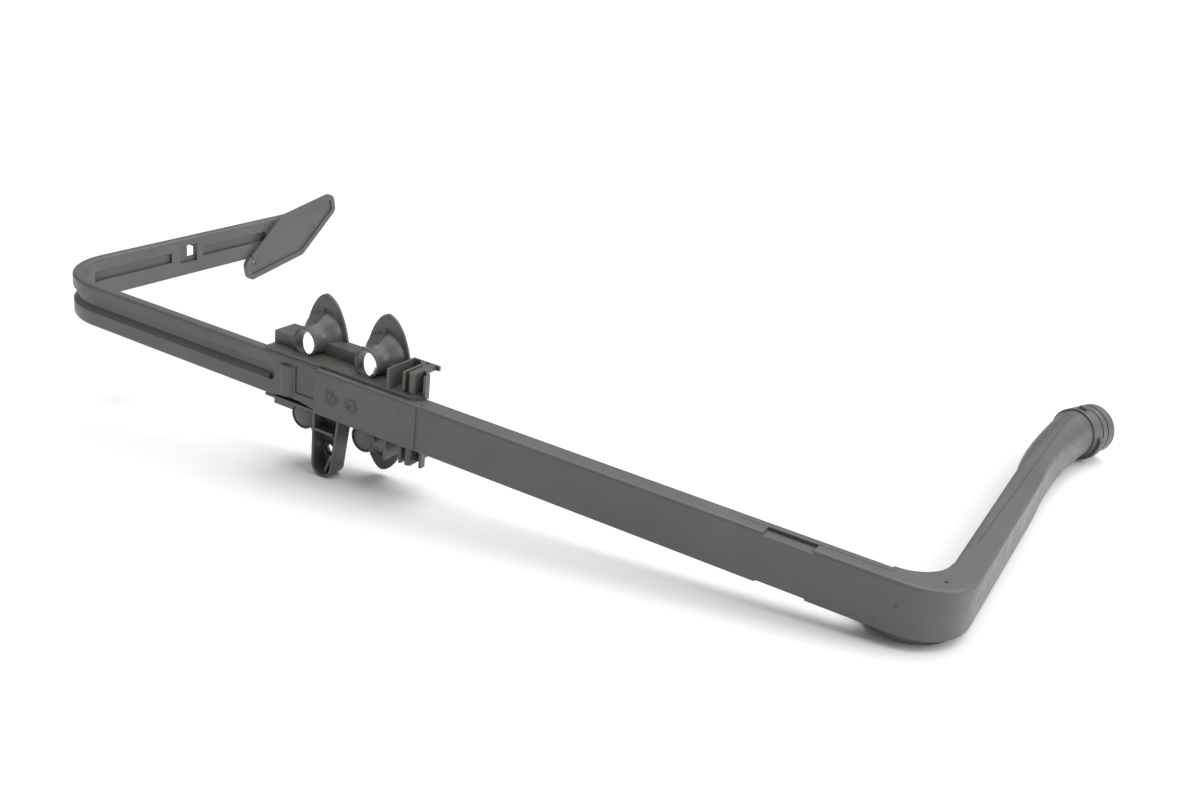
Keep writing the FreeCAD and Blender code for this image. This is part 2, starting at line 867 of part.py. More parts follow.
dome_bores = turned_pair("dome_bores", [
    (0, dome_front + cell("dome_shell"), dome_inside),
    (dome_inside, dome_front + dome_radius),
    (dome_inside, flare_start, -mouth_bend),
    (mouth_radius, plate_back),
    (mouth_radius, behind),
    (0, behind),
], -socket_offset)

spout_front = depth + cell("seal_thickness")
spout_radius = cell("outlet_bore") + cell("outlet_wall")
spouts = []
spout_bores = []
flanges = []
for label, at in ports.items():
    spot = -at
    spouts.append(rod(
        label + "_spout", "y", (spot, spout_front, 0), plate_back - spout_front, spout_radius))
    spout_bores.append(rod(
        label + "_bore", "y", (spot, spout_front - wall, 0), behind - spout_front + wall,
        cell("outlet_bore")))
    oval = doc.addObject("Part::Ellipse", label + "_oval")
    bind(oval, "MajorRadius", cell("flange_half_height"))
    bind(oval, "MinorRadius", cell("flange_half_width"))
    oval.Placement = FreeCAD.Placement(FreeCAD.Vector(), FreeCAD.Rotation(
        FreeCAD.Vector(0, 0, 1), FreeCAD.Vector(1, 0, 0), FreeCAD.Vector(0, 1, 0), "XYZ"))
    place(oval, spot, flange_plane, 0)
    flange = doc.addObject("Part::Extrusion", label + "_flange")
    flange.Base = oval
    flange.DirMode = "Custom"
    flange.Dir = FreeCAD.Vector(0, 1, 0)
    flange.Solid = True
    bind(flange, "LengthFwd", plate_back - flange_plane)
    flanges.append(flange)

gussets = new_body("gussets")
gusset_outline = draw(gussets, "gusset_outline", "YZ_Plane", -port_high, [
    (flare_start + wall, socket_offset + cell("neck_radius")),
    (flange_plane + wall / 4, socket_offset + mouth_radius),
    (flange_plane + wall / 4, cell("gusset_top")),
])
gusset = pad(gussets, "gusset", gusset_outline, cell("gusset_thickness"), midplane=True)
gusset_pair = gussets.newObject("PartDesign::LinearPattern", "gusset_pair")
gusset_pair.Originals = [gusset]
gusset_pair.Direction = (gusset_outline, ["N_Axis"])
gusset_pair.Occurrences = 2
bind(gusset_pair, "Length", pitch)
gussets.Tip = gusset_pair

block_top = tray_side + cell("block_height")
root = tray_side - wall / 4
rib_at = dock_foot + cell("rib_above_foot")
core = cell("block_shell")
clear = flare_radius + core
blocks = []
cores = []


def mirrored(label, x, y, low, high):
    """The same box above and below the tube."""
    return [
        block("upper_" + label, x, y, (low, high)),
        block("lower_" + label, x, y, (-high, -low)),
    ]


for label, high, low, near in (
    ("end_block", dock_top, port_high + rim_radius, cell("end_block_front")),
    ("middle_block", port_high - rim_radius, port_low + rim_radius, cell("block_front")),
    ("foot_block", port_low - rim_radius, rib_at, cell("block_front")),
):
    blocks += mirrored(label, (-high, -low), (near, plate_back), root, block_top)
for label, high, low, near in (
    ("end_core", dock_top - core, port_high + clear, cell("end_block_front") + core),
    ("middle_core", port_high - clear, port_low + clear, cell("block_front") + core),
):
    cores += mirrored(label, (-high, -low), (near, behind), tray_side, block_top - core)

back_plate = block(
    "back_plate", (-dock_top, -dock_foot), (flange_plane, plate_back), (-block_top, block_top))

# clip housing at the dock's lower end
rib_half = cell("rib_thickness") / 2
fin_at = dock_foot - cell("fin_below_foot")
column_at = dock_foot - cell("clip_column_below_foot")
column_radius = cell("clip_column_radius")
clip_front = cell("clip_front")
clip_top = tray_side + cell("rib_height")
strip_low = clip_top - cell("strip_height")
fin_x = (-fin_at - rib_half, -fin_at + rib_half)
column_x = (-column_at - column_radius, -column_at + column_radius)
slab_back = (clip_front + column_radius, depth + 2 * column_radius)
wall_outline_y = clip_front + column_radius
clip = []
clip += mirrored("rib", (-rib_at - rib_half, -rib_at + rib_half), (dock_front, plate_back), root, clip_top)
clip += mirrored("fin", fin_x, (clip_front, flange_plane), root, clip_top)
clip += mirrored("fin_strip", fin_x, (depth, plate_back), strip_low, clip_top)
clip += mirrored("slab", column_x, slab_back, root, clip_top)
clip += mirrored("slab_strip", column_x, (depth, plate_back), strip_low, clip_top)
clip += mirrored(
    "wing", (-rib_at, -dock_bottom - cell("wing_above_bottom")), (flange_plane, plate_back),
    strip_low, clip_top)
clip += mirrored(
    "wing_root", (-rib_at, -dock_foot), (flange_plane, plate_back), root, clip_top)
for label, base in (("upper_column", root), ("lower_column", -clip_top)):
    clip.append(rod(
        label, "z", (-column_at, clip_front + column_radius, base), clip_top - root,
        column_radius))
clip_wall = new_body("clip_wall")
clip_wall_outline = draw(clip_wall, "clip_wall_outline", "XY_Plane", 0, [
    (-dock_bottom - dock_wall, wall_outline_y),
    (-dock_bottom, wall_outline_y),
    (-dock_bottom, depth),
    (-dock_foot, plate_back),
    (-dock_foot - dock_wall, flange_plane),
    (-dock_bottom - dock_wall, depth - dock_wall / 2),
])
pad(clip_wall, "clip_wall_pad", clip_wall_outline, 2 * clip_top, midplane=True)
clip_wall_gap = block(
    "clip_wall_gap", (-dock_foot - 2 * dock_wall, -dock_bottom + wall), (0, behind), (-root, root))
clip.append(cut("clip_walls", clip_wall, clip_wall_gap))


# Screw lug on the lower side, a cup with ribs and one screw hole

lug_left, lug_round = port_low + cell("lug_above_port"), cell("lug_round")
lug_turn = -tray_side - cell("lug_drop")


def lug_corners(inset, top):
    """The lug's U outline in (x, z), moved in by inset."""
    radius = lug_round - inset
    middle = -lug_left + lug_round
    return [
        (-lug_left + inset, top),
        (-lug_left + inset, lug_turn, radius),
        (middle, lug_turn - radius, radius),
        (middle + radius, lug_turn),
        (middle + radius + cell("lug_spread"), top),
    ]


lug_shell = cell("lug_shell")
lug_back = cell("lug_back")
lug = new_body("screw_lug")
lug_outline = draw(lug, "lug_outline", "XZ_Plane", -lug_back, lug_corners(0, -root))
pad(lug, "lug_pad", lug_outline, lug_back - dock_front)
lug_cup = new_body("screw_lug_cup")
cup_outline = draw(
    lug_cup, "cup_outline", "XZ_Plane", -lug_back + lug_shell, lug_corners(lug_shell, -tray_side))
pad(lug_cup, "cup_pad", cup_outline, lug_back)

screw_x, screw_z = -lug_left + cell("screw_below_lug_top"), -cell("screw_drop")
boss_radius = cell("screw_boss")
rib_front = dock_front + wall
boss_front = lug_back - 2 * lug_shell
screw_boss = rod(
    "screw_boss", "y", (screw_x, boss_front, screw_z), lug_back - boss_front, boss_radius)
screw_sight = rod(
    "screw_sight", "y", (screw_x, 0, screw_z), lug_back - lug_shell, boss_radius - lug_shell / 2)
screw_hole = rod(
    "screw_hole", "y", (screw_x, dock_front, screw_z), lug_back, cell("screw_hole"))
lug_middle = -lug_left + lug_round
lug_ribs = [
    block("lug_bar", (-lug_left + wall / 4, lug_middle + lug_round), (dock_front, lug_back),
          (-cell("bar_drop") - lug_shell, -cell("bar_drop"))),
    block("lug_side_rib", (-lug_left + wall / 4, screw_x), (rib_front, lug_back),
          (screw_z - rib_half / 2, screw_z + rib_half / 2)),
]
foot_rib = new_body("lug_foot_rib")
foot_rib_outline = draw(foot_rib, "foot_rib_outline", "XZ_Plane", -lug_back, [
    (lug_middle - rib_half, lug_turn - lug_round + wall / 4),
    (lug_middle + rib_half, lug_turn - lug_round + wall / 4),
    (screw_x + cell("foot_rib_reach") + rib_half, screw_z),
    (screw_x + cell("foot_rib_reach") - rib_half, screw_z),
])
pad(foot_rib, "foot_rib_pad", foot_rib_outline, lug_back - rib_front)
lug_ribs.append(foot_rib)

tray_open = cut("tray_open", tray, tray_inside)
lug_open = cut("lug_open", lug, lug_cup)
dock_solid = fused("dock_solid", [
    tray_open, back_plate, lug_open, funnels, domes, gussets, screw_boss,
    *saddles, *spouts, *flanges, *blocks, *clip, *lug_ribs,
])
dock = carved("docking_station", dock_solid, [
    funnel_bores, dome_bores, *spout_bores, screw_sight, screw_hole, *cores,
])


# Flat port seals pressed between the tube's rear wall and the spouts

def port_seal(name, height):
    spot = -height
    start = (spot, depth, 0)
    bore_start = (spot, depth - wall, 0)
    disc = rod(name + "_disc", "y", start, cell("seal_thickness"), spout_radius)
    hole = rod(name + "_hole", "y", bore_start, cell("seal_thickness") + 2 * wall,
               cell("outlet_bore"))
    return cut(name, disc, hole)


nodes = [
    tube,
    dock,
    port_seal("port_seal_upper", port_high),
    port_seal("port_seal_lower", port_low),
]
doc.recompute()


# Resting attitude: on the screw lug, the foot disc and the spigot's skirt

def lowest(shape, up):
    return min(shape.tessellate(0.02)[0], key=lambda point: point.dot(up))


up = FreeCAD.Vector(0, 0, 1)
for _ in range(12):
    feet = [lowest(obj.Shape, up) for obj in (lug, disc, spigot)]
    up = (feet[1] - feet[0]).cross(feet[2] - feet[0]).normalize()
level = FreeCAD.Rotation(up, FreeCAD.Vector(0, 0, 1))
box = FreeCAD.BoundBox()
for node in nodes:
    box.add(node.Shape.transformed(FreeCAD.Placement(FreeCAD.Vector(), level).toMatrix()).BoundBox)
rest = FreeCAD.Placement(FreeCAD.Vector(-box.Center.x, -box.Center.y, -box.ZMin), level)
for node in nodes:
    node.Placement = rest
doc.recompute()

for obj in doc.Objects:
    if {"Invalid", "Error"} & set(obj.State):
        raise RuntimeError("%s did not build: %s" % (obj.Label, obj.State))
    if hasattr(obj, "Shape") and (obj.Shape.isNull() or not obj.Shape.isValid()):
        raise RuntimeError("%s has no valid shape" % obj.Label)

os.makedirs(NODES_FOLDER, exist_ok=True)
for node in nodes:
    node.Shape.exportStep(os.path.join(NODES_FOLDER, node.Label + ".step"))
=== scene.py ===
"""Looks of a dishwasher water supply tube: moulded plastic, mould marks, studio and camera.

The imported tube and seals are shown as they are, with materials.
The docking station's node gives way to a copy of its own shape with finer guide sockets.
Small moulded marks that are finer than the CAD ride on the same body.
Sizes and places are in millimetres in the tube's own axes: x down the column, y off the tub's
rear wall, z across the tube.
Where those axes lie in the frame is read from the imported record's mounts.
"""

import json
import logging
import math
from dataclasses import dataclass, field
from enum import Enum

import bmesh
import bpy
from mathutils import Matrix, Vector


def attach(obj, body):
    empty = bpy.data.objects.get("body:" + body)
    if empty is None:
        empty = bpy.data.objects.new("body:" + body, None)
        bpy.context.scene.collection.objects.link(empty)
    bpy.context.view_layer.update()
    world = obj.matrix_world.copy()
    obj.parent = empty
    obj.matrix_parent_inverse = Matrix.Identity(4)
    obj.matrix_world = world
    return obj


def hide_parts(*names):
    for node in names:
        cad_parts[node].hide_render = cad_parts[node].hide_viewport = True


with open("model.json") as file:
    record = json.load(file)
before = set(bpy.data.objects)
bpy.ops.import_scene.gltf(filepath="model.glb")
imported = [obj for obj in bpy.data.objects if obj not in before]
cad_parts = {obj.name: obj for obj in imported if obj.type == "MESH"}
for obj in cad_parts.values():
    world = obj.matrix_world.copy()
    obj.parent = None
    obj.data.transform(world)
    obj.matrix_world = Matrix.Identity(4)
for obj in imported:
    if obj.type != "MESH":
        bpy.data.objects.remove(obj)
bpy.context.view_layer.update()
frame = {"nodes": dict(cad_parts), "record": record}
MOUNTS = {mount["name"]: mount for mount in frame["record"]["mounts"]}

BODY = "root"
MM = 0.001

Point = tuple[float, float, float]
Profile = tuple[tuple[float, float], ...]
Outline = list[Point]

logging.basicConfig(level=logging.INFO, format="%(message)s")
log = logging.getLogger("supply_tube")


class Slot(Enum):
    """The record's material slots."""

    TUBE = "tube_plastic"
    DOCK = "dock_plastic"
    SEAL = "seal_rubber"


def linear(colour: str) -> tuple[float, float, float, float]:
    """Turns an sRGB hex colour into a linear one.

    Args:
        colour: Six hex digits after a hash sign.

    Returns:
        Red, green, blue and alpha for a shader socket.
    """
    channels = [int(colour[i:i + 2], 16) / 255 for i in (1, 3, 5)]
    return tuple(c / 12.92 if c <= 0.04045 else ((c + 0.055) / 1.055) ** 2.4 for c in channels) + (1.0,)


def add_node(tree: bpy.types.NodeTree, kind: str, settings: dict | None = None,
             inputs: dict | None = None) -> bpy.types.Node:
    """Adds a node with its settings, values and links.

    Args:
        tree: The tree that takes the node.
        kind: The node's type, such as ShaderNodeBump.
        settings: Values of the node's own properties.
        inputs: For each input, by name or index, a value or the socket linked to it.

    Returns:
        The new node.
    """
    node = tree.nodes.new(kind)
    for name, value in (settings or {}).items():
        setattr(node, name, value)
    for name, value in (inputs or {}).items():
        if isinstance(value, bpy.types.NodeSocket):
            tree.links.new(value, node.inputs[name])
        else:
            node.inputs[name].default_value = value
    return node


def empty_material(name: str) -> bpy.types.Material:
    """Makes a node material with nothing in its tree.

    Args:
        name: The material's name.

    Returns:
        The material.
    """
    material = bpy.data.materials.new(name)
    material.use_nodes = True
    material.node_tree.nodes.clear()
    return material


@dataclass(frozen=True)
class MouldedPlastic:
    """Satin polypropylene from a spark-eroded mould: a soft sheen broken by a fine grain.

    The colour drifts a little where the melt cooled unevenly, and the sheen drifts with it.
    """

    name: str
    colour: str
    cooled_colour: str
    smooth: float = 0.36
    rough: float = 0.52
    flow_mm: float = 38.0
    flow_span: tuple[float, float] = (0.3, 0.7)
    grain_mm: float = 0.9
    grain_depth_mm: float = 0.028
    sink_mm: float = 24.0
    sink_depth_mm: float = 0.07
    scuff_mm: float = 7.0
    scuff_squeeze: Point = (0.25, 1.0, 1.0)
    scuff_span: tuple[float, float] = (0.32, 0.68)
    ior: float = 1.49

    def make(self) -> bpy.types.Material:
        """Builds the material.

        Returns:
            A node material on Object coordinates.
        """
        material = empty_material(self.name)
        tree = material.node_tree
        place = add_node(tree, "ShaderNodeTexCoord").outputs["Object"]
        flow = add_node(tree, "ShaderNodeTexNoise", None, {
            "Vector": place, "Scale": 1 / (self.flow_mm * MM), "Detail": 3.0, "Roughness": 0.45})
        tint = add_node(tree, "ShaderNodeValToRGB", None, {"Fac": flow.outputs["Fac"]})
        low, high = tint.color_ramp.elements
        low.position, high.position = self.flow_span
        low.color = linear(self.cooled_colour)
        high.color = linear(self.colour)
        # The scuffs are drawn a few millimetres long, because real ones are too fine to show.
        stretched = add_node(tree, "ShaderNodeMapping", None, {
            "Vector": place, "Scale": self.scuff_squeeze})
        scuffs = add_node(tree, "ShaderNodeTexNoise", None, {
            "Vector": stretched.outputs["Vector"], "Scale": 1 / (self.scuff_mm * MM),
            "Detail": 6.0, "Roughness": 0.62})
        sheen = add_node(tree, "ShaderNodeMapRange", None, {
            "Value": scuffs.outputs["Fac"], "From Min": self.scuff_span[0],
            "From Max": self.scuff_span[1], "To Min": self.smooth, "To Max": self.rough})
        sink = add_node(tree, "ShaderNodeTexNoise", None, {
            "Vector": place, "Scale": 1 / (self.sink_mm * MM), "Detail": 1.0})
        sunk = add_node(tree, "ShaderNodeBump", None, {
            "Height": sink.outputs["Fac"], "Distance": self.sink_depth_mm * MM, "Strength": 1.0})
        grain = add_node(tree, "ShaderNodeTexNoise", None, {
            "Vector": place, "Scale": 1 / (self.grain_mm * MM), "Detail": 2.0, "Roughness": 0.6})
        grained = add_node(tree, "ShaderNodeBump", None, {
            "Height": grain.outputs["Fac"], "Distance": self.grain_depth_mm * MM,
            "Strength": 1.0, "Normal": sunk.outputs["Normal"]})
        shader = add_node(tree, "ShaderNodeBsdfPrincipled", None, {
            "Base Color": tint.outputs["Color"], "Roughness": sheen.outputs["Result"],
            "IOR": self.ior, "Normal": grained.outputs["Normal"]})
        add_node(tree, "ShaderNodeOutputMaterial", None, {"Surface": shader.outputs["BSDF"]})
        return material


@dataclass(frozen=True)
class SealRubber:
    """Black nitrile rubber, moulded: matt, with a faint bloom in the colour."""

    name: str = "moulded_nitrile_rubber"
    colour: str = "#1c1c1b"
    bloom: str = "#2b2b2a"
    bloom_mm: float = 2.5
    roughness: float = 0.72
    ior: float = 1.52

    def make(self) -> bpy.types.Material:
        """Builds the material.

        Returns:
            A node material on Object coordinates.
        """
        material = empty_material(self.name)
        tree = material.node_tree
        place = add_node(tree, "ShaderNodeTexCoord").outputs["Object"]
        cloud = add_node(tree, "ShaderNodeTexNoise", None, {
            "Vector": place, "Scale": 1 / (self.bloom_mm * MM), "Detail": 3.0})
        tint = add_node(tree, "ShaderNodeValToRGB", None, {"Fac": cloud.outputs["Fac"]})
        low, high = tint.color_ramp.elements
        low.color = linear(self.colour)
        high.color = linear(self.bloom)
        shader = add_node(tree, "ShaderNodeBsdfPrincipled", None, {
            "Base Color": tint.outputs["Color"], "Roughness": self.roughness, "IOR": self.ior})
        add_node(tree, "ShaderNodeOutputMaterial", None, {"Surface": shader.outputs["BSDF"]})
        return material


# The docking station's plastic is a little darker, warmer and smoother than the tube's.
# The marks are drawn darker than the tube, as painted shade for the small shadows that the raised marks
# cast, so that they show at their real size.
TUBE_PLASTIC = MouldedPlastic("satin_grey_polypropylene", "#5a5d5b", "#545755")
MARK_PLASTIC_PAINTED_SHADE = MouldedPlastic("grey_polypropylene_marks", "#444645", "#3f4140", grain_depth_mm=0.01)
DOCK_PLASTIC = MouldedPlastic(
    "satin_dark_grey_polypropylene", "#595a56", "#52534f", smooth=0.26, rough=0.42)


@dataclass(frozen=True)
class TubeAxes:
    """Where the tube's own axes lie in the frame, worked out from four mounts."""

    rear_face_height: float = 200.0

    def matrix(self) -> Matrix:
        """Finds the placement.

        Returns:
            A matrix from the tube's axes in millimetres to the frame in metres.
        """
        upper = Vector(MOUNTS["guide_socket_upper"]["pos_m"])
        lower = Vector(MOUNTS["guide_socket_lower"]["pos_m"])
        down = (lower - upper).normalized()
        off_wall = Vector(MOUNTS["docking_face"]["axis"])
        across = down.cross(off_wall).normalized()
        off_wall = across.cross(down)
        origin = Vector(MOUNTS["rear_face"]["pos_m"]) + down * self.rear_face_height * MM
        turned = Matrix((down, off_wall, across)).transposed().to_4x4()
        return Matrix.Translation(origin) @ turned @ Matrix.Scale(MM, 4)


AXES = TubeAxes().matrix()


def link(name: str, data: bpy.types.ID) -> bpy.types.Object:
    """Makes an object and links it to the scene.

    Args:
        name: The object's name.
        data: Its mesh, curve, light or camera.

    Returns:
        The object.
    """
    made = bpy.data.objects.new(name, data)
    bpy.context.scene.collection.objects.link(made)
    return made


def bake(maker: bpy.types.Object) -> bpy.types.Mesh:
    """Takes the shape that an object's modifiers give, and removes the object.

    Args:
        maker: The object with the modifiers.

    Returns:
        The shape as a plain mesh.
    """
    graph = bpy.context.evaluated_depsgraph_get()
    mesh = bpy.data.meshes.new_from_object(maker.evaluated_get(graph), depsgraph=graph)
    bpy.data.objects.remove(maker)
    return mesh


def new_tree(name: str, sizes: dict[str, float | int]) -> tuple[bpy.types.NodeTree, bpy.types.Node]:
    """Makes a Geometry Nodes tree with one geometry input and named sizes.

    Args:
        name: The tree's name.
        sizes: Each input's name and default; an int makes an integer socket.

    Returns:
        The tree and its group input node.
    """
    tree = bpy.data.node_groups.new(name, "GeometryNodeTree")
    tree.interface.new_socket("Geometry", in_out="INPUT", socket_type="NodeSocketGeometry")
    for label, value in sizes.items():
        kind = "NodeSocketInt" if isinstance(value, int) else "NodeSocketFloat"
        socket = tree.interface.new_socket(label, in_out="INPUT", socket_type=kind)
        socket.default_value = value
    tree.interface.new_socket("Geometry", in_out="OUTPUT", socket_type="NodeSocketGeometry")
    return tree, tree.nodes.new("NodeGroupInput")


def end_tree(tree: bpy.types.NodeTree, shape: bpy.types.NodeSocket,
             material: bpy.types.Material) -> None:
    """Ends a tree with plain geometry in one material.

    Args:
        tree: The tree to end.
        shape: The socket with the finished geometry.
        material: The material that all faces take.
    """
    plain = add_node(tree, "GeometryNodeRealizeInstances", None, {0: shape})
    dressed = add_node(tree, "GeometryNodeSetMaterial", None, {0: plain.outputs[0], "Material": material})
    add_node(tree, "NodeGroupOutput", None, {0: dressed.outputs[0]})


def grow(name: str, base: bpy.types.ID, tree: bpy.types.NodeTree, sizes: dict[str, float | int],
         place: Matrix) -> bpy.types.Object:
    """Runs a tree on a base shape and keeps the result as a plain mesh on the body.

    Args:
        name: The new piece's name.
        base: The mesh or curve that the tree starts from.
        tree: The Geometry Nodes tree.
        sizes: Values for the tree's named inputs.
        place: A matrix applied to the mesh.

    Returns:
        The new piece.
    """
    maker = link(name + "_maker", base)
    modifier = maker.modifiers.new("grow", "NODES")
    modifier.node_group = tree
    sockets = {s.name: s.identifier for s in tree.interface.items_tree if s.in_out == "INPUT"}
    for label, value in sizes.items():
        modifier[sockets[label]] = value
    mesh = bake(maker)
    mesh.transform(place)
    return show(name, mesh)


def show(name: str, mesh: bpy.types.Mesh) -> bpy.types.Object:
    """Links a mesh as a piece that rides on the body.

    Args:
        name: The piece's name.
        mesh: A mesh whose place is in its vertices.

    Returns:
        The piece.
    """
    mesh.name = name
    piece = link(name, mesh)
    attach(piece, BODY)
    log.info("%s: %d faces", name, len(mesh.polygons))
    return piece


def dress(node: str, material: bpy.types.Material) -> None:
    """Gives a CAD node its material.

    Args:
        node: The node's name.
        material: The material for all its faces.
    """
    shown = frame["nodes"][node]
    shown.data.materials.clear()
    shown.data.materials.append(material)
    log.info("%s: %d faces in %s", node, len(shown.data.polygons), material.name)


@dataclass(frozen=True)
class DateDial:
    """A moulded date dial with plain raised ticks, a ring and an arrow, and no figures.

    Attributes:
        name: The piece's name.
        height: Its middle's height above the tub's floor.
        across: Where its middle is across the tube.
        turned: How far the whole dial is turned on the face, in degrees.
        radius: The circle round the ticks' outer ends.
        ticks: How many ticks there are.
        tick_length: A tick's length, and the radius at the foot of the arrow's head.
        tick_width: A tick's width, and the radius at the top of the arrow's head.
        proud: The thickness of the ticks, of the arrow's shaft and of its head.
        ring_radius: Radius of the ring's middle line.
        ring_wire: Radius of the ring's own round section.
        arrow_length: The arrow's length.
        arrow_width: The width of its shaft.
        ring_segments: How many straight stretches the ring has.
        wire_segments: How many the ring's section has.
        head_corners: How many corners the arrow's head has.
        head_share: Where the head is, as a share of the arrow's length from its middle.
    """

    name: str
    height: float
    across: float
    turned: float
    radius: float = 5.0
    ticks: int = 12
    tick_length: float = 1.3
    tick_width: float = 0.7
    proud: float = 0.3
    ring_radius: float = 2.9
    ring_wire: float = 0.26
    arrow_length: float = 3.8
    arrow_width: float = 0.7
    ring_segments: int = 40
    wire_segments: int = 8
    head_corners: int = 3
    head_share: float = 0.3

    def tick_ring(self, tree: bpy.types.NodeTree, out: bpy.types.NodeOutputs) -> bpy.types.NodeSocket:
        """Sets the ticks out on a circle, each turned outward.

        Args:
            tree: The dial's tree.
            out: The tree's named sizes.

        Returns:
            The socket with the ticks.
        """
        half = add_node(tree, "ShaderNodeMath", {"operation": "MULTIPLY_ADD"}, {
            0: out["Tick Length"], 1: -0.5, 2: out["Radius"]})
        step = add_node(tree, "ShaderNodeMath", {"operation": "DIVIDE"}, {0: math.tau, 1: out["Ticks"]})
        index = add_node(tree, "GeometryNodeInputIndex")
        angle = add_node(tree, "ShaderNodeMath", {"operation": "MULTIPLY"}, {
            0: index.outputs[0], 1: step.outputs[0]})
        turn = add_node(tree, "ShaderNodeCombineXYZ", None, {"Z": angle.outputs[0]})
        outward = add_node(tree, "ShaderNodeCombineXYZ", None, {"X": half.outputs[0]})
        spot = add_node(tree, "ShaderNodeVectorRotate", {"rotation_type": "Z_AXIS"}, {
            "Vector": outward.outputs[0], "Angle": angle.outputs[0]})
        points = add_node(tree, "GeometryNodePoints", None, {
            "Count": out["Ticks"], "Position": spot.outputs[0]})
        tick_size = add_node(tree, "ShaderNodeCombineXYZ", None, {
            "X": out["Tick Length"], "Y": out["Tick Width"], "Z": out["Proud"]})
        tick = add_node(tree, "GeometryNodeMeshCube", None, {"Size": tick_size.outputs[0]})
        ticks = add_node(tree, "GeometryNodeInstanceOnPoints", None, {
            "Points": points.outputs[0], "Instance": tick.outputs[0], "Rotation": turn.outputs[0]})
        return ticks.outputs[0]

    def ring(self, tree: bpy.types.NodeTree, out: bpy.types.NodeOutputs) -> bpy.types.NodeSocket:
        """Makes the round ridge between the ticks and the arrow.

        Args:
            tree: The dial's tree.
            out: The tree's named sizes.

        Returns:
            The socket with the ridge.
        """
        ring_line = add_node(tree, "GeometryNodeCurvePrimitiveCircle", None, {
            "Resolution": self.ring_segments, "Radius": out["Ring Radius"]})
        wire = add_node(tree, "GeometryNodeCurvePrimitiveCircle", None, {
            "Resolution": self.wire_segments, "Radius": out["Ring Wire"]})
        ring = add_node(tree, "GeometryNodeCurveToMesh", None, {
            0: ring_line.outputs[0], 1: wire.outputs[0]})
        return ring.outputs[0]

    def arrow(self, tree: bpy.types.NodeTree,
              out: bpy.types.NodeOutputs) -> tuple[bpy.types.NodeSocket, bpy.types.NodeSocket]:
        """Makes the arrow in the middle.

        Args:
            tree: The dial's tree.
            out: The tree's named sizes.

        Returns:
            The sockets with its shaft and its head.
        """
        shaft_size = add_node(tree, "ShaderNodeCombineXYZ", None, {
            "X": out["Arrow Length"], "Y": out["Arrow Width"], "Z": out["Proud"]})
        shaft = add_node(tree, "GeometryNodeMeshCube", None, {"Size": shaft_size.outputs[0]})
        head = add_node(tree, "GeometryNodeMeshCone", None, {
            "Vertices": self.head_corners, "Radius Top": out["Tick Width"],
            "Radius Bottom": out["Tick Length"], "Depth": out["Proud"]})
        tip = add_node(tree, "ShaderNodeMath", {"operation": "MULTIPLY"}, {
            0: out["Arrow Length"], 1: self.head_share})
        tip_place = add_node(tree, "ShaderNodeCombineXYZ", None, {"X": tip.outputs[0]})
        placed_head = add_node(tree, "GeometryNodeTransform", None, {
            "Geometry": head.outputs[0], "Translation": tip_place.outputs[0]})
        return shaft.outputs[0], placed_head.outputs[0]

    def tree(self, material: bpy.types.Material) -> bpy.types.NodeTree:
        """Builds the dial's tree: ticks on a circle, a ring and an arrow.

        Args:
            material: The marks' material.

        Returns:
            The tree, with its sizes as named inputs.
        """
        tree, given = new_tree(self.name, {
            "Radius": self.radius, "Ticks": self.ticks, "Tick Length": self.tick_length,
            "Tick Width": self.tick_width, "Proud": self.proud, "Ring Radius": self.ring_radius,
            "Ring Wire": self.ring_wire, "Arrow Length": self.arrow_length,
            "Arrow Width": self.arrow_width})
        out = given.outputs
        joined = add_node(tree, "GeometryNodeJoinGeometry")
        parts = (self.tick_ring(tree, out), self.ring(tree, out), *self.arrow(tree, out))
        for part in parts:
            tree.links.new(part, joined.inputs[0])
        end_tree(tree, joined.outputs[0], material)
        return tree

    def build(self, material: bpy.types.Material) -> bpy.types.Object:
        """Makes the dial on the column's outer face.

        Args:
            material: The marks' material.

        Returns:
            The piece.
        """
        facing = Matrix.Rotation(math.pi / 2, 4, "X") @ Matrix.Rotation(math.radians(self.turned), 4, "Z")
        place = AXES @ Matrix.Translation((-self.height, 0, self.across)) @ facing
        base = bpy.data.meshes.new(self.name + "_base")
        return grow(self.name, base, self.tree(material), {"Ticks": self.ticks}, place)


